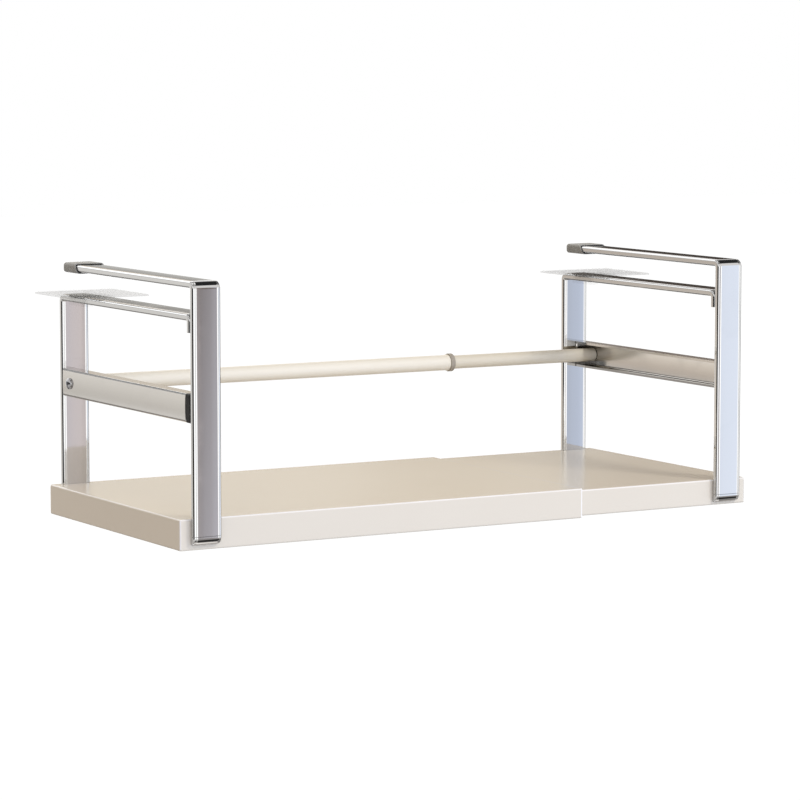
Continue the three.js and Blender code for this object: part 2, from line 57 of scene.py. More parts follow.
DECK_SHEET = 1.2 * MM
DECK_FOLD = 1.5 * MM
DECK_LIP = 14 * MM
DECK_EDGE = 0.2 * MM
SLOT_GAP = 0.2 * MM
STRIP_WIDTH = 25 * MM
STRIP_THICKNESS = 6 * MM
STRIP_BEND = 3.6 * MM
STRIP_END = 0.3 * MM
REAR_STRIP_END = 1.1 * MM
BEND_STEPS = 20
ARM_LEVEL = 185.9 * MM
TAB_END = 173.9 * MM
FOOT_LEVEL = 4.0 * MM
FOOT_JOINT = 11.3 * MM
FOOT_GAP = 0.1 * MM
FOOT_END = 0.05 * MM
CAP_SLANT = 6 * MM
CAP_ROUND = 2.6 * MM
CAP_RIM = 0.96 * MM
CAP_END = 2.2 * MM
CAP_EDGE = 0.25 * MM
RAIL_SHEET = 1.2 * MM
RAIL_FOLD = 1.4 * MM
RAIL_END = 0.7 * MM
RAIL_FOOT = 2.2 * MM
RAIL_BULGE = 0.28 * MM
RAIL_LIP = 2.0 * MM
RAIL_LEAN = 0.25 * MM
RAIL_EDGE = 0.15 * MM
BLOCK_ROUND = 1.4 * MM
BLOCK_EDGE = 0.3 * MM
ROD_WALL = 0.6 * MM
ROD_STEPS = 64
COLLAR_SEAT_PLAY = 0.15 * MM
COLLAR_MOUTH_PLAY = 0.1 * MM
COLLAR_STOP = 0.2 * MM
PLATE_THICKNESS = 1.2 * MM
PLATE_CORNER = 3.5 * MM
PLATE_EDGE = 0.4 * MM
CLIP_WALL = 1.6 * MM
CLIP_SLOT = 12 * MM
CLIP_PLAY = 0.3 * MM
CLIP_EDGE = 0.3 * MM
CLIP_LENGTH = 30 * MM
CLIP_SETBACK = 22 * MM
FILM_CORNER = 1.5 * MM
FILM_EDGE = 0.25 * MM
SCREW_HEAD = 7.6 * MM
SCREW_HEAD_HEIGHT = 2 * MM
SCREW_SHANK = 4 * MM
BOLT_HEAD = 9.5 * MM
BOLT_HEAD_HEIGHT = 2.75 * MM
BOLT_SHANK = 5 * MM


# Colour, node and mesh helpers

def srgb(red, green, blue):
    """Linear colour, with alpha, from screen values of 0 to 255."""
    def linear(value):
        share = value / 255
        return share / 12.92 if share <= 0.04045 else ((share + 0.055) / 1.055) ** 2.4
    return (linear(red), linear(green), linear(blue), 1.0)


def grey(level):
    """A linear grey with alpha."""
    return (level, level, level, 1.0)


class Wires:
    """Adds nodes to one tree and links them by socket name or number."""

    def __init__(self, tree):
        self.tree = tree

    def add(self, kind, inputs=None, **settings):
        node = self.tree.nodes.new(kind)
        for name, value in settings.items():
            setattr(node, name, value)
        for name, value in (inputs or {}).items():
            self.feed(node.inputs[name], value)
        return node

    def feed(self, socket, value):
        if isinstance(value, bpy.types.NodeSocket):
            self.tree.links.new(value, socket)
        else:
            socket.default_value = value

    def sum(self, operation, first, second=0.0, third=None):
        node = self.add("ShaderNodeMath", {0: first, 1: second}, operation=operation)
        if third is not None:
            self.feed(node.inputs[2], third)
        return node.outputs[0]

    def scaled(self, value, factor, base=0.0):
        return self.sum("MULTIPLY_ADD", value, factor, base)

    def marked(self, name):
        return self.add("ShaderNodeAttribute", attribute_name=name).outputs["Fac"]

    def mix(self, factor, first, second):
        node = self.add("ShaderNodeMix", {0: factor, 6: first, 7: second}, data_type="RGBA")
        return node.outputs[2]

    def noise(self, place, scale, detail, roughness=0.5, distortion=0.0):
        node = self.add("ShaderNodeTexNoise", {"Vector": place, "Scale": scale, "Detail": detail,
                                               "Roughness": roughness, "Distortion": distortion})
        return node.outputs[0]

    def span(self, value, low, high, new_low=0.0, new_high=1.0, smooth=True):
        kind = "SMOOTHSTEP" if smooth else "LINEAR"
        node = self.add("ShaderNodeMapRange", {0: value, 1: low, 2: high, 3: new_low, 4: new_high},
                        interpolation_type=kind)
        return node.outputs[0]


def node_group(name, kind, inputs, outputs):
    """An empty node group with named sockets, its Wires, and its input and output nodes."""
    group = bpy.data.node_groups.new(name, kind)
    for label, carries, value in inputs:
        socket = group.interface.new_socket(label, in_out="INPUT", socket_type="NodeSocket" + carries)
        if value is not None:
            socket.default_value = value
    for label, carries in outputs:
        group.interface.new_socket(label, in_out="OUTPUT", socket_type="NodeSocket" + carries)
    wires = Wires(group)
    return group, wires, wires.add("NodeGroupInput"), wires.add("NodeGroupOutput")


def corners_of(low, high):
    """The matrix that makes a unit cube reach from one corner to the other."""
    return Matrix.Translation((low + high) / 2) @ Matrix.Diagonal((*(high - low), 1))


def block(low, high):
    """A plain box mesh to work on, from its lowest to its highest corner."""
    bm = bmesh.new()
    bmesh.ops.create_cube(bm, size=1, matrix=corners_of(Vector(low), Vector(high)))
    return bm


def rounded(bm, edges, radius, segments=4, clamped=True):
    """Rounds these edges."""
    bmesh.ops.bevel(bm, geom=list(edges), offset=radius, offset_type="OFFSET", segments=segments,
                    profile=0.5, affect="EDGES", clamp_overlap=clamped)


def cut_along(bm, axis, places):
    """Splits every face that crosses the planes at these places along one axis."""
    normal = Vector((0, 0, 0))
    normal[axis] = 1
    for place in places:
        bmesh.ops.bisect_plane(bm, geom=bm.verts[:] + bm.edges[:] + bm.faces[:], dist=WELD,
                               plane_co=normal * place, plane_no=normal)


def drop_faces(bm, inside):
    """Deletes the faces whose middle passes a test."""
    faces = [face for face in bm.faces if inside(face.calc_center_median())]
    bmesh.ops.delete(bm, geom=faces, context="FACES")


def edges_at(bm, axis, place, wanted=True):
    """The edges that lie in a plane across one axis, or all the others."""
    def flat(edge):
        return all(abs(vert.co[axis] - place) < SAME_PLACE for vert in edge.verts)
    return [edge for edge in bm.edges if flat(edge) == wanted]


def prism(outline, axis, start, end):
    """A flat outline of two coordinates, in axis order, drawn out along the third axis."""
    def place(point, along):
        values = list(point)
        values.insert(axis, along)
        return Vector(values)
    bm = bmesh.new()
    near = [bm.verts.new(place(point, start)) for point in outline]
    far = [bm.verts.new(place(point, end)) for point in outline]
    bm.faces.new(near)
    bm.faces.new(far)
    count = len(outline)
    for index in range(count):
        after = (index + 1) % count
        bm.faces.new((near[index], near[after], far[after], far[index]))
    bmesh.ops.recalc_face_normals(bm, faces=bm.faces)
    return bm


def turned(bm, profile, steps, place, closed=False):
    """Turns a profile of (along, radius) pairs about its axis, where place maps
    (along, across, up) to a point."""
    rings = []
    for along, radius in profile:
        if radius < WELD:
            rings.append([bm.verts.new(place(along, 0, 0))])
            continue
        turns = [2 * math.pi * step / steps for step in range(steps)]
        rings.append([bm.verts.new(place(along, radius * math.cos(turn), radius * math.sin(turn)))
                      for turn in turns])
    pairs = list(zip(rings, rings[1:])) + ([(rings[-1], rings[0])] if closed else [])
    for first, second in pairs:
        for step in range(steps):
            after = (step + 1) % steps
            corners = [first[step % len(first)], first[after % len(first)],
                       second[after % len(second)], second[step % len(second)]]
            bm.faces.new(list(dict.fromkeys(corners)))
    return bm


def plain_mesh(bm, name):
    """A mesh of what has been worked on."""
    mesh = bpy.data.meshes.new(name)
    bm.to_mesh(mesh)
    bm.free()
    return mesh


def mesh_of(bm, name, sharp=35):
    """A smooth-shaded mesh with sharp edges above an angle in degrees."""
    bmesh.ops.remove_doubles(bm, verts=bm.verts, dist=WELD)
    bmesh.ops.recalc_face_normals(bm, faces=bm.faces)
    mesh = plain_mesh(bm, name)
    mesh.shade_smooth()
    mesh.set_sharp_from_angle(angle=math.radians(sharp))
    return mesh


def placed(name, data):
    """A new object in the scene, at the origin."""
    item = bpy.data.objects.new(name, data)
    scene.collection.objects.link(item)
    return item


def mark(mesh, name, values):
    """Keeps one value for each point of a mesh, for its finish to read."""
    mesh.attributes.new(name, "FLOAT", "POINT").data.foreach_set("value", values)


def piece_of(mesh, name, body, slot, nodes, sheet=0.0, edge=0.0, finish=None):
    """A finished piece: its mesh on a body, in the place of its CAD nodes,
    with its slot's finish or its own."""
    piece = placed(name, mesh)
    mesh.materials.clear()
    mesh.materials.append(FINISHES[finish or slot])
    if sheet:
        wall = piece.modifiers.new("sheet", "SOLIDIFY")
        wall.thickness = sheet
        wall.offset = -1
        wall.use_even_offset = True
    if edge:
        softened = piece.modifiers.new("soft_edges", "BEVEL")
        softened.width = edge
        softened.segments = 2
        softened.limit_method = "ANGLE"
        softened.angle_limit = math.radians(50)
    shading = piece.modifiers.new("even_shading", "WEIGHTED_NORMAL")
    shading.keep_sharp = True
    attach(piece, body)
    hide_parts(*nodes)
    return piece


# Effects that several finishes share

SPECK_SCALE = 2600.0
SPECK_SHARE = 0.25


def fine_brushing():
    """Fine lines drawn out along one direction, as a height and a roughness about a base value."""
    group, wires, start, end = node_group(
        "fine_brushing", "ShaderNodeTree",
        [("Place", "Vector", None), ("Lines", "Vector", (60, 1500, 60)),
         ("Roughness", "Float", 0.1), ("Spread", "Float", 0.05)],
        [("Roughness", "Float"), ("Height", "Float")])
    drawn = wires.add("ShaderNodeVectorMath", {0: start.outputs["Place"], 1: start.outputs["Lines"]},
                      operation="MULTIPLY")
    lines = wires.noise(drawn.outputs[0], scale=1.0, detail=3.0, roughness=0.6)
    offset = wires.sum("SUBTRACT", lines, 0.5)
    rough = wires.scaled(offset, start.outputs["Spread"], start.outputs["Roughness"])
    wires.feed(end.inputs["Roughness"], rough)
    wires.feed(end.inputs["Height"], lines)
    return group


def handling_marks():
    """Faint cloudy patches where hands have touched the surface."""
    group, wires, start, end = node_group(
        "handling_marks", "ShaderNodeTree",
        [("Place", "Vector", None), ("Scale", "Float", 22.0),
         ("Amount", "Float", 0.5)],
        [("Mark", "Float")])
    clouds = wires.noise(start.outputs["Place"], start.outputs["Scale"],
                         detail=5.0, roughness=0.62, distortion=0.6)
    patch = wires.span(clouds, 0.48, 0.72)
    wires.feed(end.inputs["Mark"], wires.scaled(patch, start.outputs["Amount"]))
    return group


def baked_paint():
    """The fine peel of a sprayed and baked coat, with a slow drift in its tone."""
    group, wires, start, end = node_group(
        "baked_paint", "ShaderNodeTree",
        [("Place", "Vector", None), ("Peel", "Float", 900.0),
         ("Drift", "Float", 9.0)],
        [("Height", "Float"), ("Tone", "Float")])
    place = start.outputs["Place"]
    peel = wires.noise(place, start.outputs["Peel"], detail=2.0)
    drift = wires.noise(place, start.outputs["Drift"], detail=3.0)
    speck = wires.noise(place, SPECK_SCALE, detail=1.0)
    slow = wires.scaled(drift, 1 - SPECK_SHARE)
    tone = wires.scaled(speck, SPECK_SHARE, slow)
    wires.feed(end.inputs["Height"], peel)
    wires.feed(end.inputs["Tone"], tone)
    return group


BRUSHING = fine_brushing()
MARKS = handling_marks()
PAINT = baked_paint()


# Finishes, with how deep their relief is, the dark grey of their painted shade, and how handling, folds and
# thin places change them

BRUSH_DEPTH = 0.02 * MM
PEEL_DEPTH = 0.06 * MM
GRAIN_DEPTH = 0.1 * MM
# The dark grey that painted shade on the rails mixes towards
PAINTED_SHADE_TONE = grey(0.1)
METAL_HAZE = 0.08
PLASTIC_HAZE = 0.12
FOLD_HAZE = -0.12
COAT_WEIGHT = 0.25
COAT_ON_FOLDS = 0.5
COAT_ROUGHNESS = 0.15
THIN_LOSS = -0.7
MARK_COVER = 0.02
CLEAR_IOR = 1.49


def new_finish(name):
    """A named material, the Wires of its tree, its Principled shader and the piece's own coordinates."""
    material = bpy.data.materials.new(name)
    material.use_nodes = True
    wires = Wires(material.node_tree)
    shader = material.node_tree.nodes["Principled BSDF"]
    place = wires.add("ShaderNodeTexCoord").outputs["Object"]
    return material, wires, shader, place


def bump(wires, shader, height, strength, depth):
    """Gives a finish its relief."""
    node = wires.add("ShaderNodeBump", {"Height": height, "Strength": strength, "Distance": depth})
    wires.feed(shader.inputs["Normal"], node.outputs[0])


def placed_group(wires, group, place, **values):
    """A shared effect in a finish, with its own values."""
    node = wires.add("ShaderNodeGroup", node_tree=group)
    wires.feed(node.inputs["Place"], place)
    for label, value in values.items():
        wires.feed(node.inputs[label], value)
    return node


def handled(wires, place, scale, amount):
    """Where a finish has been touched."""
    return placed_group(wires, MARKS, place, Scale=scale, Amount=amount).outputs["Mark"]


def metal_finish(name, light, dark, lines, roughness, spread, handling, relief):
    """Bare metal with drawn lines, faint handling marks, and painted shade where it is marked."""
    material, wires, shader, place = new_finish(name)
    brushed = placed_group(wires, BRUSHING, place, Lines=lines, Roughness=roughness, Spread=spread)
    marks = handled(wires, place, 26.0, handling)
    tone = wires.mix(marks, light, dark)
    # Painted shade: the colour darkens towards a dark grey where a rail is marked.
    painted_shade = wires.marked("painted_shade")
    wires.feed(shader.inputs["Base Color"], wires.mix(painted_shade, tone, PAINTED_SHADE_TONE))
    rough = wires.scaled(marks, METAL_HAZE, brushed.outputs["Roughness"])
    wires.feed(shader.inputs["Roughness"], rough)
    shader.inputs["Metallic"].default_value = 1.0
    bump(wires, shader, brushed.outputs["Height"], relief, BRUSH_DEPTH)
    return material


def paint_finish(name, light, dark, fold_highlight, roughness, peel, relief=0.12):
    """Baked cream paint with a fine peel; along its folds a painted highlight lightens its colour, and the
    paint there is also glossier.
    """
    material, wires, shader, place = new_finish(name)
    coat = placed_group(wires, PAINT, place, Peel=peel)
    folds = wires.marked("fold_highlight")
    flat = wires.mix(coat.outputs["Tone"], light, dark)
    # Painted highlight: where folds are marked, the colour turns near-white.
    wires.feed(shader.inputs["Base Color"], wires.mix(folds, flat, fold_highlight))
    wires.feed(shader.inputs["Roughness"], wires.scaled(folds, FOLD_HAZE, roughness))
    weight = wires.scaled(folds, COAT_ON_FOLDS, COAT_WEIGHT)
    wires.feed(shader.inputs["Coat Weight"], weight)
    shader.inputs["Coat Roughness"].default_value = COAT_ROUGHNESS
    bump(wires, shader, coat.outputs["Height"], relief, PEEL_DEPTH)
    return material


def moulded_finish(name, light, dark, roughness, grain, relief, shine=0.5):
    """Moulded plastic or rubber with a fine spark-eroded grain."""
    material, wires, shader, place = new_finish(name)
    grains = wires.noise(place, grain, detail=4.0, roughness=0.65)
    marks = handled(wires, place, 60.0, 0.6)
    wires.feed(shader.inputs["Base Color"], wires.mix(grains, dark, light))
    rough = wires.scaled(marks, PLASTIC_HAZE, roughness)
    wires.feed(shader.inputs["Roughness"], rough)
    shader.inputs["Specular IOR Level"].default_value = shine
    bump(wires, shader, grains, relief, GRAIN_DEPTH)
    return material


def clear_finish(name, light, dark, roughness, cover, haze):
    """Clear plastic that lets most of what is behind it through, and more where it is thin."""
    material, wires, shader, place = new_finish(name)
    marks = handled(wires, place, 40.0, 0.5)
    thin = wires.marked("thin")
    wires.feed(shader.inputs["Base Color"], wires.mix(marks, light, dark))
    rough = wires.scaled(marks, haze, roughness)
    wires.feed(shader.inputs["Roughness"], rough)
    faint = wires.scaled(thin, THIN_LOSS * cover, cover)
    alpha = wires.scaled(marks, MARK_COVER, faint)
    wires.feed(shader.inputs["Alpha"], alpha)
    shader.inputs["IOR"].default_value = CLEAR_IOR
    return material


FINISHES = {name: make(name, **values) for name, make, values in (
    # Each cream paint's pale third colour is the painted highlight along its marked folds; only the decks
    # are marked.
    ("cream_paint", paint_finish, dict(
        light=srgb(220, 210, 192), dark=srgb(215, 204, 185), fold_highlight=srgb(252, 250, 247),
        roughness=0.27, peel=900.0)),
    ("cream_rod", paint_finish, dict(
        light=srgb(237, 230, 213), dark=srgb(232, 224, 206), fold_highlight=srgb(240, 236, 226),
        roughness=0.34, peel=1100.0)),
    ("cream_slide", paint_finish, dict(
        light=srgb(222, 213, 193), dark=srgb(216, 207, 186), fold_highlight=srgb(232, 227, 216),
        roughness=0.34, peel=1100.0)),
    ("polished_steel", metal_finish, dict(
        light=grey(0.6), dark=grey(0.57), lines=(350, 350, 9),
        roughness=0.05, spread=0.03, handling=0.3, relief=0.02)),
    ("satin_steel", metal_finish, dict(
        light=srgb(204, 201, 197), dark=srgb(190, 187, 182), lines=(900, 14, 2400),
        roughness=0.13, spread=0.08, handling=0.3, relief=0.08)),
    ("zinc_steel", metal_finish, dict(
        light=srgb(176, 176, 178), dark=srgb(146, 146, 150), lines=(700, 700, 700),
        roughness=0.2, spread=0.1, handling=0.8, relief=0.15)),
    ("grey_plastic", moulded_finish, dict(
        light=srgb(172, 171, 165), dark=srgb(104, 103, 98), roughness=0.4, grain=900.0, relief=0.45)),
    ("taupe_plastic", moulded_finish, dict(
        light=srgb(172, 163, 148), dark=srgb(150, 141, 127), roughness=0.4, grain=1400.0, relief=0.15)),
    ("black_plastic", moulded_finish, dict(
        light=srgb(30, 28, 27), dark=srgb(20, 19, 18), roughness=0.4, grain=1500.0, relief=0.2,
        shine=0.15)),
    ("white_nylon", moulded_finish, dict(
        light=srgb(238, 236, 229), dark=srgb(226, 224, 216), roughness=0.45, grain=1300.0, relief=0.15)),
    ("clear_plastic", clear_finish, dict(
        light=srgb(150, 147, 143), dark=srgb(138, 135, 131), roughness=0.03, cover=0.2, haze=0.04)),
    ("clear_gel", clear_finish, dict(
        light=srgb(222, 221, 219), dark=srgb(214, 213, 210), roughness=0.1, cover=0.06, haze=0.1)),
)}


# Decks, each a folded tray of sheet steel with turned-in lips underneath

FOLD_DEPTH = 0.29


def deck_tray(node, name, body, side):
    """One tray, open at its inner end, with a slot in its top for the rear upright."""
    low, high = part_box(node)
    closed, opened = (low.x, high.x) if side == "left" else (high.x, low.x)
    inward = 1 if side == "left" else -1
    bm = block(low, high)
    rounded(bm, edges_at(bm, 0, opened, wanted=False), DECK_FOLD)
    drop_faces(bm, lambda middle: abs(middle.x - opened) < SAME_PLACE)
    cut_along(bm, 0, [opened - inward * DECK_SHEET])
    lip_x = closed + inward * DECK_LIP
    lip_front, lip_rear = low.y + DECK_LIP, high.y - DECK_LIP
    cut_along(bm, 0, [lip_x])
    cut_along(bm, 1, [lip_front, lip_rear])
    drop_faces(bm, lambda middle: (middle.z < low.z + SAME_PLACE and lip_front < middle.y < lip_rear
                                   and inward * (middle.x - lip_x) > 0))
    strip_low, strip_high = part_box(side + "_rear_hanger")
    slot_x = (strip_low.x - SLOT_GAP, strip_high.x + SLOT_GAP)
    slot_y = (strip_high.y - STRIP_THICKNESS - SLOT_GAP, strip_high.y + SLOT_GAP)
    cut_along(bm, 0, slot_x)
    cut_along(bm, 1, slot_y)
    drop_faces(bm, lambda middle: (middle.z > high.z - 2 * DECK_FOLD and slot_x[0] < middle.x < slot_x[1]
                                   and slot_y[0] < middle.y < slot_y[1]))
    mesh = mesh_of(bm, name)
    mark_fold_highlights(mesh, low, high, closed, opened)
    return piece_of(mesh, name, body, "cream_paint", [node], sheet=DECK_SHEET, edge=DECK_EDGE)


def mark_fold_highlights(mesh, low, high, closed, opened):
    """Marks where the paint gets its painted highlight and more gloss: the top folds, the upright corners
    and the open edge.
    """
    marks = []
    for vert in mesh.vertices:
        x, y, z = vert.co
        depth = min(abs(x - closed), y - low.y, high.y - y, high.z - z)
        above_foot = z > low.z + DECK_FOLD - SAME_PLACE
        fold_highlight_share = min(1.0, depth / (FOLD_DEPTH * DECK_FOLD)) if above_foot else 0.0
        on_open_edge = abs(x - opened) < SAME_PLACE and z > low.z + SAME_PLACE
        # Painted highlight: full on the open edge, and rising across each rounded edge.
        marks.append(1.0 if on_open_edge else fold_highlight_share)
    mark(mesh, "fold_highlight", marks)


# Hangers and feet, drawn along their paths from one section of flat tube

# Their section, in millimetres from its middle

CROWN_PLACES = (3.0, 6.0, 9.0)
CROWN_DROP = 0.037
GROOVE = [(10.1, 2.8), (10.3, 2.58), (10.5, 2.77)]
LAND_LEVEL = 2.71
LAND_TILT = 6.5
EDGE_RADIUS = 1.5
EDGE_STEPS = 24


def strip_section():
    """The tube's section: a slightly crowned flat, a fine groove, a land and a tight round edge."""
    half_width, half_thickness = STRIP_WIDTH / MM / 2, STRIP_THICKNESS / MM / 2
    crown = [(u, half_thickness - CROWN_DROP * (u / CROWN_PLACES[-1]) ** 2) for u in CROWN_PLACES]
    middle = (half_width - EDGE_RADIUS, LAND_LEVEL - EDGE_RADIUS)
    edge = []
    for step in range(EDGE_STEPS + 1):
        tilt = math.radians(LAND_TILT + (90 - LAND_TILT) * step / EDGE_STEPS)
        edge.append((middle[0] + EDGE_RADIUS * math.sin(tilt), middle[1] + EDGE_RADIUS * math.cos(tilt)))
    quarter = crown + GROOVE + edge
    right = quarter + [(u, -v) for u, v in reversed(quarter)]
    return [(u * MM, v * MM) for u, v in right + [(-u, -v) for u, v in right]]


def end_tree(wires, start, end, geometry):
    """Ends a Geometry Nodes tree as one plain mesh in its finish."""
    whole = wires.add("GeometryNodeRealizeInstances", {0: geometry})
    coloured = wires.add("GeometryNodeSetMaterial", {"Geometry": whole.outputs[0],
                                                     "Material": start.outputs["Finish"]})
    wires.feed(end.inputs[0], coloured.outputs[0])


def bent_tube_tree():
    """Geometry Nodes: rounds the corners of a path and draws a section along it."""
    tree, wires, start, end = node_group(
        "bent_flat_tube", "GeometryNodeTree",
        [("Path", "Geometry", None), ("Section", "Object", None),
         ("Bend Radius", "Float", STRIP_BEND), ("Bend Steps", "Int", BEND_STEPS),
         ("Finish", "Material", None)],
        [("Geometry", "Geometry")])
    path = wires.add("GeometryNodeMeshToCurve", {0: start.outputs["Path"]})
    bend = wires.add("GeometryNodeFilletCurve",
                     {"Curve": path.outputs[0], "Radius": start.outputs["Bend Radius"],
                      "Count": start.outputs["Bend Steps"]}, mode="POLY")
    outline = wires.add("GeometryNodeObjectInfo", {"Object": start.outputs["Section"]})
    section = wires.add("GeometryNodeMeshToCurve", {0: outline.outputs["Geometry"]})
    drawn = wires.add("GeometryNodeCurveToMesh",
                      {"Curve": bend.outputs[0], "Profile Curve": section.outputs[0], "Fill Caps": True})
    end_tree(wires, start, end, drawn.outputs[0])
    return tree


def wire_object(name, points, closed=False):
    """A helper object of points joined by edges, which is removed once it has been used."""
    edges = [(index, index + 1) for index in range(len(points) - 1)]
    if closed:
        edges.append((len(points) - 1, 0))
    mesh = bpy.data.meshes.new(name)
    mesh.from_pydata([tuple(point) for point in points], edges, [])
    return placed(name, mesh)


def grown(host, tree, values):
    """Runs a Geometry Nodes tree on a helper object and returns the result as a plain bmesh."""
    modifier = host.modifiers.new("grow", "NODES")
    modifier.node_group = tree
    for item in tree.interface.items_tree:
        if item.in_out == "INPUT" and item.name in values:
            modifier[item.identifier] = values[item.name]
    bpy.context.view_layer.update()
    evaluated = host.evaluated_get(bpy.context.evaluated_depsgraph_get())
    mesh = bpy.data.meshes.new_from_object(evaluated)
    host.modifiers.remove(modifier)
    bm = bmesh.new()
    bm.from_mesh(mesh)
    bpy.data.meshes.remove(mesh)
    remove_helper(host)
    return bm


def remove_helper(helper):
    """Removes a helper object and its mesh."""
    mesh = helper.data
    bpy.data.objects.remove(helper)
    bpy.data.meshes.remove(mesh)


TUBE_TREE = bent_tube_tree()
SECTION = wire_object("strip_section", [(u, v, 0) for u, v in strip_section()], closed=True)


def bent_strip(name, x, corners, body, node, bend=STRIP_BEND, soft_end=STRIP_END):
    """One piece of flat tube along a path of (y, z) corners, with its cut ends softened."""
    path = wire_object(name + "_path", [(x, y, z) for y, z in corners])
    bm = grown(path, TUBE_TREE, {"Section": SECTION, "Bend Radius": bend, "Bend Steps": BEND_STEPS,
                                 "Finish": FINISHES["polished_steel"]})
    bmesh.ops.remove_doubles(bm, verts=bm.verts, dist=SAME_PLACE)
    cut_ends = [face for face in bm.faces if len(face.verts) > 4]
    rounded(bm, {edge for face in cut_ends for edge in face.edges}, soft_end, 3)
    return piece_of(mesh_of(bm, name, sharp=6), name, body, "polished_steel", [node])


def frame_strips(side, body):
    """The front hanger, the rear hanger and the foot of one side frame."""
    front_low, front_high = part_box(side + "_front_hanger")
    rear_low, rear_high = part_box(side + "_rear_hanger")
    half = STRIP_THICKNESS / 2
    x = (front_low.x + front_high.x) / 2
    front_y = front_low.y + half
    top = front_high.z - half
    bent_strip(side + "_front_strip", x, [(front_y, FOOT_JOINT), (front_y, top), (front_high.y, top)],
               body, side + "_front_hanger")
    rear_y, tab_y = rear_high.y - half, rear_low.y + half
    bent_strip(side + "_rear_strip", x,
               [(rear_y, rear_low.z), (rear_y, ARM_LEVEL), (tab_y, ARM_LEVEL), (tab_y, TAB_END)],
               body, side + "_rear_hanger", soft_end=REAR_STRIP_END)
    foot = FOOT_LEVEL + half
    bent_strip(side + "_foot", x,
               [(front_y, FOOT_JOINT - FOOT_GAP), (front_y, foot), (front_y + half, foot)],
               body, side + "_foot_plug", bend=half, soft_end=FOOT_END)


# Soft caps on the upper arms

def arm_cap(side, body):
    """A rounded sleeve with a slanting mouth."""
    node = side + "_arm_cap"
    low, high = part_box(node)
    outline = [(low.y, low.z), (high.y, low.z), (high.y, high.z), (low.y + CAP_SLANT, high.z)]
    bm = prism(outline, 0, low.x, high.x)
    bm.faces.ensure_lookup_table()
    mouth = min(bm.faces, key=lambda face: face.calc_center_median().y)
    rounded(bm, [edge for edge in bm.edges if edge not in set(mouth.edges)], CAP_ROUND, 5)
    mouth = min(bm.faces, key=lambda face: (round(face.normal.y, 3), face.calc_center_median().y))
    bmesh.ops.inset_region(bm, faces=[mouth], thickness=CAP_RIM, use_even_offset=True)
    bored = bmesh.ops.extrude_face_region(bm, geom=[mouth])
    for vert in (item for item in bored["geom"] if isinstance(item, bmesh.types.BMVert)):
        vert.co.y = high.y - CAP_END
    bmesh.ops.delete(bm, geom=[mouth], context="FACES_ONLY")
    return piece_of(mesh_of(bm, node + "_skin", sharp=50), side + "_cap", body, "grey_plastic", [node],
                    edge=CAP_EDGE)


# Side rails, shallow trays that open to the inside, and the blocks at their front ends

# How many rows its face bulges over, which part of its top folded edge gets a painted dark line, in
# radians, and how much painted shade darkens its rear wall

BULGE_ROWS = 6
SHADE_LINE_FROM, SHADE_LINE_TO = 0.2, 1.0
REAR_WALL_SHADE = 0.7


def side_rail(side, body):
    """One rail: a bulging outer face between two folds, closed ends and two lips inside."""
    node = side + "_side_rail"
    low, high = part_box(node)
    outer, inner = (low.x, high.x) if side == "left" else (high.x, low.x)
    outward = math.copysign(1, outer - inner)
    bm = block(low, high)
    for level, radius in ((low.z, RAIL_FOOT), (high.z, RAIL_FOLD)):
        rounded(bm, set(edges_at(bm, 0, outer)) & set(edges_at(bm, 2, level)), radius, 8)
    rounded(bm, edges_at(bm, 1, low.y) + edges_at(bm, 1, high.y), RAIL_END, 5, clamped=False)
    bottom, top = low.z + RAIL_FOOT, high.z - RAIL_FOLD
    centre, reach = (bottom + top) / 2, (top - bottom) / 2
    rows = [centre + reach * row / BULGE_ROWS for row in range(1 - BULGE_ROWS, BULGE_ROWS)]
    window = (low.z + RAIL_LIP, high.z - RAIL_LIP)
    cut_along(bm, 2, rows + list(window))
    for vert in bm.verts:
        if abs(vert.co.x - outer) < SAME_PLACE:
            vert.co.x += outward * RAIL_BULGE * max(0.0, 1 - ((vert.co.z - centre) / reach) ** 2)
        elif abs(vert.co.x - inner) < SAME_PLACE and abs(vert.co.z - low.z) < SAME_PLACE:
            vert.co.x += outward * RAIL_LEAN
    drop_faces(bm, lambda middle: (abs(middle.x - inner) < SAME_PLACE
                                   and window[0] < middle.z < window[1]))
    mesh = mesh_of(bm, node, sharp=25)
    # Painted shade: a dark line in the top folded edge and a darker rear wall, mixed into the steel's
    # colour.
    marks = []
    for vert in mesh.vertices:
        angle = math.atan2(vert.co.z - top, outward * (vert.co.x - outer) + RAIL_FOLD)
        on_shade_line = vert.co.z > top and SHADE_LINE_FROM < angle < SHADE_LINE_TO
        marks.append(REAR_WALL_SHADE if vert.co.y > high.y - SAME_PLACE else float(on_shade_line))
    mark(mesh, "painted_shade", marks)
    return piece_of(mesh, side + "_rail_tray", body, "satin_steel", [node],
                    sheet=RAIL_SHEET, edge=RAIL_EDGE)


def rail_block(side, body):
    """The block between a rail's front end and the front upright."""
    node = side + "_rail_block"
    low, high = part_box(node)
    bm = block(low, high)
    ends = edges_at(bm, 1, low.y) + edges_at(bm, 1, high.y)
    rounded(bm, [edge for edge in bm.edges if edge not in ends], BLOCK_ROUND)
    rounded(bm, edges_at(bm, 1, low.y) + edges_at(bm, 1, high.y), BLOCK_EDGE, 2)
    return piece_of(mesh_of(bm, node), side + "_rail_spacer", body, "black_plastic", [node])


# Telescopic rod

# The outer tube's lip, in millimetres back from its end and out from its wall

ROD_LIP = [(6.2, 0.0), (5.4, 0.08), (4.6, 0.32), (4.0, 0.45), (3.4, 0.4), (2.95, 0.15), (2.8, 0.0)]

# The collar's two edges, in millimetres from its ends and into it, and its groove,
# in shares of its length and millimetres into it

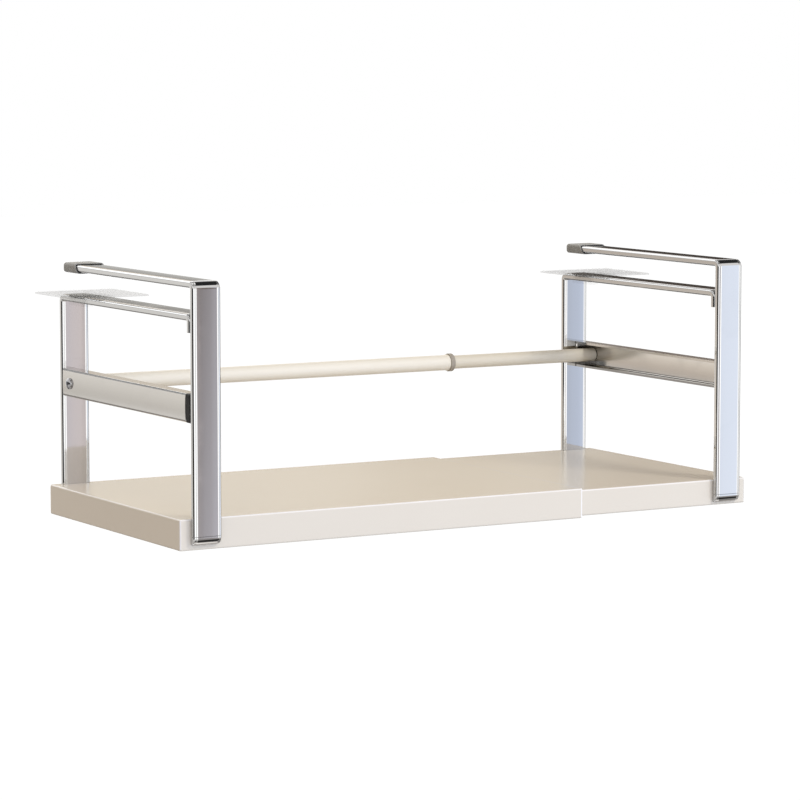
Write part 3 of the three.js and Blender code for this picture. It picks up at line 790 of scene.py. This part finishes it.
COLLAR_START = [(0.0, 0.5), (0.15, 0.15), (0.5, 0.0)]
COLLAR_GROOVE = [(0.36, 0.0), (0.42, 0.18), (0.58, 0.18), (0.64, 0.0)]
COLLAR_FINISH = [(0.7, 0.0), (0.25, 0.2), (0.0, 0.7)]


def along_rod(y, z):
    """Maps a turned profile onto an axis along x."""
    return lambda along, across, up: Vector((along, y + across, z + up))


def rod_axis():
    """The rod's height and its place from front to back."""
    low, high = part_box("rod_inner_tube")
    return (low.y + high.y) / 2, (low.z + high.z) / 2


def radius_of(node):
    """The radius of a round node that lies along x."""
    low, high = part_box(node)
    return (high.z - low.z) / 2


def rod_tube(node, name, body, lip, finish):
    """A thin tube with its two ends rolled round, and, where lip is set, a slightly flared lip at its right
    end.
    """
    low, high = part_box(node)
    radius = radius_of(node)
    round_end = ROD_WALL / 2
    outer = [(low.x + round_end, radius)]
    if lip:
        outer += [(high.x - back * MM, radius + out * MM) for back, out in ROD_LIP]
    outer += [(high.x - round_end, radius), (high.x, radius - round_end),
              (high.x - round_end, radius - ROD_WALL)]
    inner = [(low.x + round_end, radius - ROD_WALL), (low.x, radius - round_end)]
    bm = turned(bmesh.new(), outer + inner, ROD_STEPS, along_rod(*rod_axis()), closed=True)
    return piece_of(mesh_of(bm, name, sharp=60), name, body, "cream_rod", [node], finish=finish)


def rod_collar(body):
    """A moulded ring with softened edges and a shallow groove."""
    low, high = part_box("rod_collar")
    radius = radius_of("rod_collar")
    seat = radius_of("rod_outer_tube") + COLLAR_SEAT_PLAY
    mouth = radius_of("rod_inner_tube") + COLLAR_MOUTH_PLAY
    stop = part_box("rod_outer_tube")[1].x + COLLAR_STOP
    length = high.x - low.x
    profile = [(low.x, seat)]
    profile += [(low.x + along * MM, radius - into * MM) for along, into in COLLAR_START]
    profile += [(low.x + share * length, radius - into * MM) for share, into in COLLAR_GROOVE]
    profile += [(high.x - along * MM, radius - into * MM) for along, into in COLLAR_FINISH]
    profile += [(high.x, mouth), (stop, mouth), (stop, seat)]
    bm = turned(bmesh.new(), profile, ROD_STEPS, along_rod(*rod_axis()), closed=True)
    return piece_of(mesh_of(bm, "rod_collar_ring", sharp=40), "rod_collar_ring", body, "grey_plastic",
                    ["rod_collar"], finish="taupe_plastic")


# Anchor plates with their clips, and their adhesive films

def round_corner_outline(low, high, corner, steps=8):
    """A rectangle with round corners, seen from above."""
    points = []
    for x, y, start in ((high.x - corner, high.y - corner, 0), (low.x + corner, high.y - corner, 1),
                        (low.x + corner, low.y + corner, 2), (high.x - corner, low.y + corner, 3)):
        for step in range(steps + 1):
            angle = (start + step / steps) * math.pi / 2
            points.append((x + corner * math.cos(angle), y + corner * math.sin(angle)))
    return points


def rounded_slab(low, high, bottom, top, corner, edge):
    """A flat plate with round corners and softened edges."""
    bm = prism(round_corner_outline(low, high, corner), 2, bottom, top)
    rounded(bm, edges_at(bm, 2, bottom) + edges_at(bm, 2, top), edge, 3)
    return bm


def merged(first, second):
    """Adds the second bmesh to the first."""
    mesh = plain_mesh(second, "merge")
    first.from_mesh(mesh)
    bpy.data.meshes.remove(mesh)
    return first


def anchor_plate(side, body):
    """A clear plate on a clip that grips the lower arm."""
    node = side + "_anchor_plate"
    low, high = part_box(node)
    x = (low.x + high.x) / 2
    underside = high.z - PLATE_THICKNESS
    plate = rounded_slab(low, high, underside, high.z, PLATE_CORNER, PLATE_EDGE)
    reach = STRIP_WIDTH / 2 + CLIP_PLAY
    outside, slot = reach + CLIP_WALL, CLIP_SLOT / 2
    roof = ARM_LEVEL + STRIP_THICKNESS / 2 + CLIP_PLAY
    under = low.z + CLIP_WALL
    half = [(outside, underside), (outside, low.z), (slot, low.z),
            (slot, under), (reach, under), (reach, roof)]
    outline = [(x + u, z) for u, z in half] + [(x - u, z) for u, z in reversed(half)]
    rear = high.y - CLIP_SETBACK
    clip = prism(outline, 1, rear - CLIP_LENGTH, rear)
    rounded(clip, clip.edges[:], CLIP_EDGE, 2)
    mesh = mesh_of(merged(plate, clip), node)
    mark(mesh, "thin", [float(vert.co.z < underside - SAME_PLACE) for vert in mesh.vertices])
    return piece_of(mesh, side + "_plate", body, "clear_plastic", [node])


def adhesive_film(side, body):
    """The film of adhesive on a plate."""
    node = side + "_adhesive_pad"
    low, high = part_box(node)
    bm = rounded_slab(low, high, low.z, high.z, FILM_CORNER, FILM_EDGE)
    return piece_of(mesh_of(bm, node), side + "_film", body, "clear_gel", [node])


# Screws and bolts, one set for each side frame

def fastener_tree():
    """Geometry Nodes: sets a headed fastener with a recess on every point, along its direction."""
    tree, wires, start, end = node_group(
        "headed_fasteners", "GeometryNodeTree",
        [("Points", "Geometry", None), ("Head", "Object", None),
         ("Shank", "Object", None), ("Recess", "Object", None),
         ("Head Size", "Vector", (SCREW_HEAD, SCREW_HEAD, SCREW_HEAD_HEIGHT)),
         ("Shank Diameter", "Float", SCREW_SHANK),
         ("Finish", "Material", None)],
        [("Geometry", "Geometry")])
    shapes = {}
    for label in ("Head", "Shank", "Recess"):
        shape = wires.add("GeometryNodeObjectInfo", {"Object": start.outputs[label]})
        shapes[label] = shape.outputs["Geometry"]
    size = start.outputs["Head Size"]
    head = wires.add("GeometryNodeTransform", {"Geometry": shapes["Head"], "Scale": size})
    recess = wires.add("GeometryNodeTransform", {"Geometry": shapes["Recess"], "Scale": size})
    recessed = wires.add("GeometryNodeMeshBoolean", operation="DIFFERENCE", solver="EXACT")
    wires.tree.links.new(head.outputs[0], recessed.inputs["Mesh 1"])
    wires.tree.links.new(recess.outputs[0], recessed.inputs["Mesh 2"])
    toward = wires.add("GeometryNodeInputNamedAttribute", {"Name": "toward"}, data_type="FLOAT_VECTOR")
    reach = wires.add("GeometryNodeInputNamedAttribute", {"Name": "reach"}, data_type="FLOAT")
    turn = wires.add("FunctionNodeAlignRotationToVector", {"Vector": toward.outputs["Attribute"]}, axis="Z")
    shank_size = wires.add("ShaderNodeCombineXYZ", {"X": start.outputs["Shank Diameter"],
                                                    "Y": start.outputs["Shank Diameter"],
                                                    "Z": reach.outputs["Attribute"]})
    spots = wires.add("GeometryNodeMeshToPoints", {"Mesh": start.outputs["Points"]})
    heads = wires.add("GeometryNodeInstanceOnPoints",
                      {"Points": spots.outputs[0], "Instance": recessed.outputs[0],
                       "Rotation": turn.outputs[0]})
    shanks = wires.add("GeometryNodeInstanceOnPoints",
                       {"Points": spots.outputs[0], "Instance": shapes["Shank"],
                        "Rotation": turn.outputs[0], "Scale": shank_size.outputs[0]})
    both = wires.add("GeometryNodeJoinGeometry")
    for part in (heads, shanks):
        wires.tree.links.new(part.outputs[0], both.inputs[0])
    end_tree(wires, start, end, both.outputs[0])
    return tree


def shape_helper(bm, name):
    """A helper object for the fasteners' tree, which is removed once it has been used."""
    bmesh.ops.recalc_face_normals(bm, faces=bm.faces)
    return placed(name, plain_mesh(bm, name))


def upright_axis(along, across, up):
    """Maps a turned profile onto an axis along z."""
    return Vector((across, up, along))


def fastener_shapes():
    """A head and a shank of unit size, a cross recess and a six-sided socket, all standing on z = 0."""
    dome = [(0, 0), (0, 0.46), (0.03, 0.49), (0.1, 0.5), (0.36, 0.5)]
    dome += [(0.36 + 0.64 * math.sin(tilt), 0.5 * math.cos(tilt)) for tilt in (0.35, 0.7, 1.05, 1.35)]
    dome += [(1, 0)]
    head = shape_helper(turned(bmesh.new(), dome, 32, upright_axis), "head_shape")
    rod = [(0.02, 0), (0.02, 0.5), (-0.93, 0.5), (-1, 0.4), (-1, 0)]
    shank = shape_helper(turned(bmesh.new(), rod, 24, upright_axis), "shank_shape")
    cross = merged(block((-0.25, -0.07, 0.45), (0.25, 0.07, 1.5)),
                   block((-0.07, -0.25, 0.45), (0.07, 0.25, 1.5)))
    cross_recess = shape_helper(cross, "cross_recess")
    turns = [corner * math.pi / 3 for corner in range(6)]
    hexagon = [(0.2 * math.cos(turn), 0.2 * math.sin(turn)) for turn in turns]
    hex_socket = shape_helper(prism(hexagon, 2, 0.4, 1.5), "hex_socket")
    return head, shank, cross_recess, hex_socket


FASTENERS = fastener_tree()
HEAD, SHANK, CROSS, SOCKET = fastener_shapes()


def fasteners(name, body, nodes, axis_signs, recess, head, head_height, shank):
    """One piece with all the fasteners of one kind, where each node's box gives the place
    and the reach, and axis_signs the axis and the side that its head is on."""
    mesh = bpy.data.meshes.new(name + "_points")
    places, towards, reaches = [], [], []
    for node in nodes:
        low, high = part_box(node)
        axis, sign = axis_signs(node)
        place = (low + high) / 2
        place[axis] = high[axis] - head_height if sign > 0 else low[axis] + head_height
        direction = Vector((0, 0, 0))
        direction[axis] = sign
        places.append(tuple(place))
        towards.extend(direction)
        reaches.append(high[axis] - low[axis] - head_height)
    mesh.from_pydata(places, [], [])
    mesh.attributes.new("toward", "FLOAT_VECTOR", "POINT").data.foreach_set("vector", towards)
    mark(mesh, "reach", reaches)
    bm = grown(placed(name + "_points", mesh), FASTENERS,
               {"Head": HEAD, "Shank": SHANK, "Recess": recess, "Head Size": (head, head, head_height),
                "Shank Diameter": shank, "Finish": FINISHES["zinc_steel"]})
    return piece_of(mesh_of(bm, name, sharp=40), name, body, "zinc_steel", nodes)


def frame_fasteners(side, body):
    """The seven screws and the rod's bolt of one side frame."""
    names = ("front_deck_screw_1", "front_deck_screw_2", "rear_deck_screw_1", "rear_deck_screw_2",
             "tab_screw", "rail_front_screw", "rail_rear_screw")
    fasteners(side + "_screws", body, [side + "_" + name for name in names],
              lambda node: (1, -1 if node.endswith("rail_rear_screw") else 1),
              CROSS, SCREW_HEAD, SCREW_HEAD_HEIGHT, SCREW_SHANK)
    fasteners(side + "_bolt", body, [side + "_rod_bolt"], lambda node: (0, -1 if side == "left" else 1),
              SOCKET, BOLT_HEAD, BOLT_HEAD_HEIGHT, BOLT_SHANK)


# The whole shelf

deck_tray("outer_deck", "outer_deck_tray", "left_half", "left")
deck_tray("inner_deck", "inner_deck_tray", "right_half", "right")
for side in SIDES:
    half, anchor = side + "_half", side + "_anchor"
    frame_strips(side, half)
    arm_cap(side, half)
    side_rail(side, half)
    rail_block(side, half)
    anchor_plate(side, anchor)
    adhesive_film(side, anchor)
    frame_fasteners(side, half)
rod_tube("rod_outer_tube", "rod_outer_sleeve", "left_half", True, "cream_rod")
rod_tube("rod_inner_tube", "rod_inner_slide", "right_half", False, "cream_slide")
rod_collar("left_half")
for node, slot in (("rod_bush", "white_nylon"), ("left_rod_insert", "zinc_steel"),
                   ("right_rod_insert", "zinc_steel")):
    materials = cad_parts[node].data.materials
    materials.clear()
    materials.append(FINISHES[slot])
for helper in (SECTION, HEAD, SHANK, CROSS, SOCKET):
    remove_helper(helper)


# Studio

# The camera, in metres and degrees, from the photograph's vanishing points

CAMERA_LENS = 156.085
CAMERA_SENSOR = 36
CAMERA_PLACE = (-1.48533, -2.57286, 0.41484)
CAMERA_PITCH = 6.1434
CAMERA_TURN = 29.9582
CAMERA_REACH = 60


def studio_camera():
    """The camera at the photograph's place."""
    data = bpy.data.cameras.new("studio_camera")
    data.lens = CAMERA_LENS
    data.sensor_width = CAMERA_SENSOR
    data.clip_end = CAMERA_REACH
    camera = placed("studio_camera", data)
    camera.location = CAMERA_PLACE
    camera.rotation_euler = (math.radians(90 - CAMERA_PITCH), 0, math.radians(-CAMERA_TURN))
    scene.camera = camera


# The studio's cards, which the shelf's metal and gloss show

STEEL_SHINE = 0.6
WHITE_CARD = (1.75, 1.75, 1.75, 1.0)
SHADE = (0.03, 0.03, 0.03, 1.0)


def seen(red, green, blue):
    """The brightness of a card that polished steel shows as these screen values."""
    return tuple(value / STEEL_SHINE for value in srgb(red, green, blue)[:3]) + (1.0,)


def card_group():
    """One soft-edged card round the studio, fading across, up or aslant from one colour to another,
    over what is behind it."""
    group, wires, start, end = node_group(
        "studio_card", "ShaderNodeTree",
        [("Under", "Color", None), ("Turn", "Float", 0.0), ("Tilt", "Float", 0.0),
         ("Turn From", "Float", 0.0), ("Turn To", "Float", 0.0),
         ("Tilt From", "Float", 0.0), ("Tilt To", "Float", 0.0),
         ("Soft", "Float", 0.5), ("First", "Color", None), ("Last", "Color", None),
         ("Across", "Float", 1.0), ("Up", "Float", 0.0), ("Start", "Float", 0.0)],
        [("Colour", "Color")])
    cover = None
    across = []
    for name in ("Turn", "Tilt"):
        value, first, last = (start.outputs[label] for label in (name, name + " From", name + " To"))
        soft = start.outputs["Soft"]
        rise = wires.span(value, wires.sum("SUBTRACT", first, soft), wires.sum("ADD", first, soft))
        fall = wires.span(value, wires.sum("SUBTRACT", last, soft), wires.sum("ADD", last, soft), 1.0, 0.0)
        inside = wires.scaled(rise, fall)
        cover = wires.scaled(cover, inside) if cover else inside
        across.append(wires.span(value, first, last, smooth=False))
    fade = wires.scaled(across[0], start.outputs["Across"], start.outputs["Start"])
    fade = wires.scaled(across[1], start.outputs["Up"], fade)
    face = wires.mix(fade, start.outputs["First"], start.outputs["Last"])
    wires.feed(end.inputs["Colour"], wires.mix(cover, start.outputs["Under"], face))
    return group


def card(turns, tilts, soft, first, last=None, across=1.0, up=0.0):
    """A card's inputs: its turns and tilts in degrees, its soft edge, its one or two colours
    and how far they fade across and up."""
    fade_start = max(0.0, -across) + max(0.0, -up)
    return (*turns, *tilts, soft, first, last or first, across, up, fade_start)


STUDIO_CARDS = [
    # All round, above and below
    card((-200, 200), (43, 75), 3.0, SHADE, seen(215, 213, 210), 0.0, 1.0),
    card((35, 132), (43, 70), 3.0, SHADE),
    card((-200, 200), (-60, -12), 2.0, seen(100, 97, 94), seen(205, 203, 201), 0.0, 1.0),
    card((-152, 150), (12, 43), 2.0, seen(208, 206, 204)),
    card((-110, 110), (-100, -57), 2.0, seen(165, 159, 154)),
    card((16, 62), (-57, -12), 1.5, SHADE, seen(150, 146, 144), 0.0, 1.0),
    card((16, 62), (-48, -29), 1.0, SHADE),
    card((31, 110), (-100, -62), 2.0, seen(236, 232, 228)),
    card((110, 200), (-100, -40), 2.0, seen(165, 159, 154)),
    # Behind on the left, for the rails, and on the left, for the uprights' edges
    card((-185, -140), (-60, -28), 2.0, grey(0.1)),
    card((-185, -140), (-26, -9.5), 1.5, seen(104, 101, 98), seen(150, 147, 144), 0.0, 1.0),
    card((-138, -32), (-12, 10), 2.0, SHADE),
    card((-175, -138), (-1.5, 7), 1.5, grey(0.25)),
    card((-168, -150.3), (-9, -2), 1.0, seen(150, 147, 143), seen(232, 230, 226), 0.295, 0.5),
    card((-150.3, -138), (-9, -2), 1.0, seen(222, 214, 204), seen(160, 150, 140), 0.0, 1.0),
    # In front on the right, one for each upright's face
    card((22.6, 25.68), (-13, 17), 0.12, seen(184, 180, 186), seen(205, 194, 191)),
    card((25.68, 28.0), (-13, 17), 0.12, seen(112, 103, 99)),
    card((25.68, 28.0), (-10, -2.5), 0.12, seen(96, 87, 84), seen(188, 186, 192), 0.55, -0.45),
    card((28.0, 31.4), (-13, 17), 0.12, seen(165, 165, 176)),
    card((31.4, 34.1), (-13, 17), 0.12, seen(173, 180, 194), seen(186, 195, 214)),
    card((34.1, 40.0), (-13, 17), 0.12, seen(218, 225, 238), seen(225, 233, 248)),
    # On the right and behind on the right, for the uprights' edges, the arms and the deck's gloss
    card((62, 138), (-12, 11), 2.0, grey(0.05)),
    card((62, 138), (29, 43), 2.0, grey(0.05)),
    card((138, 151), (-12, 5.6), 0.8, seen(56, 51, 47)),
    card((138, 147.5), (5.6, 12), 1.5, (0.12, 0.05, 0.0, 1.0)),
    card((147.5, 175), (5.6, 12), 1.5, (0.57, 0.46, 0.32, 1.0)),
    card((151, 159), (-5.0, 3.0), 0.5, seen(176, 175, 172)),
    card((151, 159), (3.0, 5.3), 0.4, seen(176, 175, 172), seen(90, 87, 82), 0.0, 1.0),
]


# The even light's level, and what the right, the front and the space above add to it

AMBIENT_LEVEL = (0.539, 0.528, 0.51)
AMBIENT_RIGHT = (0.105, 0.18, 0.268)
AMBIENT_FRONT = (0.626, 0.776, 1.14)
AMBIENT_ABOVE = (0.1, 0.005, -0.14)

# What the light points at, and the floor, in metres

SHELF_MIDDLE = Vector((0, 0, 0.08))
FLOOR_LEVEL = -0.45
FLOOR_REACH = 12


def studio_world():
    """White behind the shelf, an even light on it that is strongest and coolest from the front,
    and a ring of cards for its reflections. Turns are measured from the front, to the right,
    and tilts from the horizon, in degrees."""
    world = bpy.data.worlds.new("studio")
    scene.world = world
    world.use_nodes = True
    world.node_tree.nodes.clear()
    wires = Wires(world.node_tree)
    direction = wires.add("ShaderNodeTexCoord").outputs["Generated"]
    rightward, backward, upward = wires.add("ShaderNodeSeparateXYZ", {0: direction}).outputs
    forward = wires.scaled(backward, -1.0)
    turn = wires.sum("DEGREES", wires.sum("ARCTAN2", rightward, forward))
    tilt = wires.sum("DEGREES", wires.sum("ARCSINE", upward))
    reflected = WHITE_CARD
    group = card_group()
    for settings in STUDIO_CARDS:
        node = wires.add("ShaderNodeGroup", node_tree=group)
        for socket, value in zip(node.inputs, (reflected, turn, tilt, *settings)):
            wires.feed(socket, value)
        reflected = node.outputs[0]
    light = AMBIENT_LEVEL
    front = wires.sum("MAXIMUM", forward, 0.0)
    above = wires.sum("MAXIMUM", upward, 0.0)
    for share, rise in ((rightward, AMBIENT_RIGHT), (front, AMBIENT_FRONT), (above, AMBIENT_ABOVE)):
        raised = wires.add("ShaderNodeVectorMath", {0: rise, 1: share, 2: light}, operation="MULTIPLY_ADD")
        light = raised.outputs[0]
    rays = wires.add("ShaderNodeLightPath")
    ambient = wires.mix(rays.outputs["Is Diffuse Ray"], grey(1.0), light)
    colour = wires.mix(rays.outputs["Is Glossy Ray"], ambient, reflected)
    background = wires.add("ShaderNodeBackground", {"Color": colour})
    output = wires.add("ShaderNodeOutputWorld")
    wires.feed(output.inputs["Surface"], background.outputs[0])


def soft_light(name, turn, tilt, distance, size, watts, colour):
    """A square light at a turn and a tilt about the shelf's middle, pointed at it."""
    data = bpy.data.lights.new(name, "AREA")
    data.shape = "SQUARE"
    data.size = size
    data.energy = watts
    data.color = colour
    light = placed(name, data)
    turn, tilt = math.radians(turn), math.radians(tilt)
    away = Vector((math.sin(turn) * math.cos(tilt), -math.cos(turn) * math.cos(tilt), math.sin(tilt)))
    light.location = SHELF_MIDDLE + distance * away
    light.rotation_euler = away.to_track_quat("Z", "Y").to_euler()
    light.visible_glossy = False
    light.visible_camera = False


def pale_floor():
    """A wide pale floor well below the hanging shelf, clear from its underside."""
    bm = bmesh.new()
    bmesh.ops.create_grid(bm, x_segments=1, y_segments=1, size=FLOOR_REACH,
                          matrix=Matrix.Translation((0, 0, FLOOR_LEVEL)))
    mesh = plain_mesh(bm, "pale_floor")
    material = bpy.data.materials.new("pale_floor")
    material.use_nodes = True
    wires = Wires(material.node_tree)
    shader = material.node_tree.nodes["Principled BSDF"]
    shader.inputs["Base Color"].default_value = grey(0.05)
    shader.inputs["Roughness"].default_value = 0.9
    shader.inputs["Specular IOR Level"].default_value = 0.0
    shader.inputs["Emission Color"].default_value = grey(1.0)
    shader.inputs["Emission Strength"].default_value = 1.0
    from_below = wires.add("ShaderNodeNewGeometry").outputs["Backfacing"]
    clear = wires.add("ShaderNodeBsdfTransparent").outputs[0]
    both = wires.add("ShaderNodeMixShader", {0: from_below, 1: shader.outputs[0], 2: clear})
    wires.feed(material.node_tree.nodes["Material Output"].inputs["Surface"], both.outputs[0])
    mesh.materials.append(material)
    floor = placed("pale_floor", mesh)
    floor.visible_glossy = False
    floor.visible_diffuse = False


studio_camera()
studio_world()
soft_light("key_light", turn=28, tilt=38, distance=2.2, size=0.4, watts=14, colour=(1.0, 0.97, 0.93))
pale_floor()
scene.view_settings.view_transform = "Standard"
scene.view_settings.look = "None"
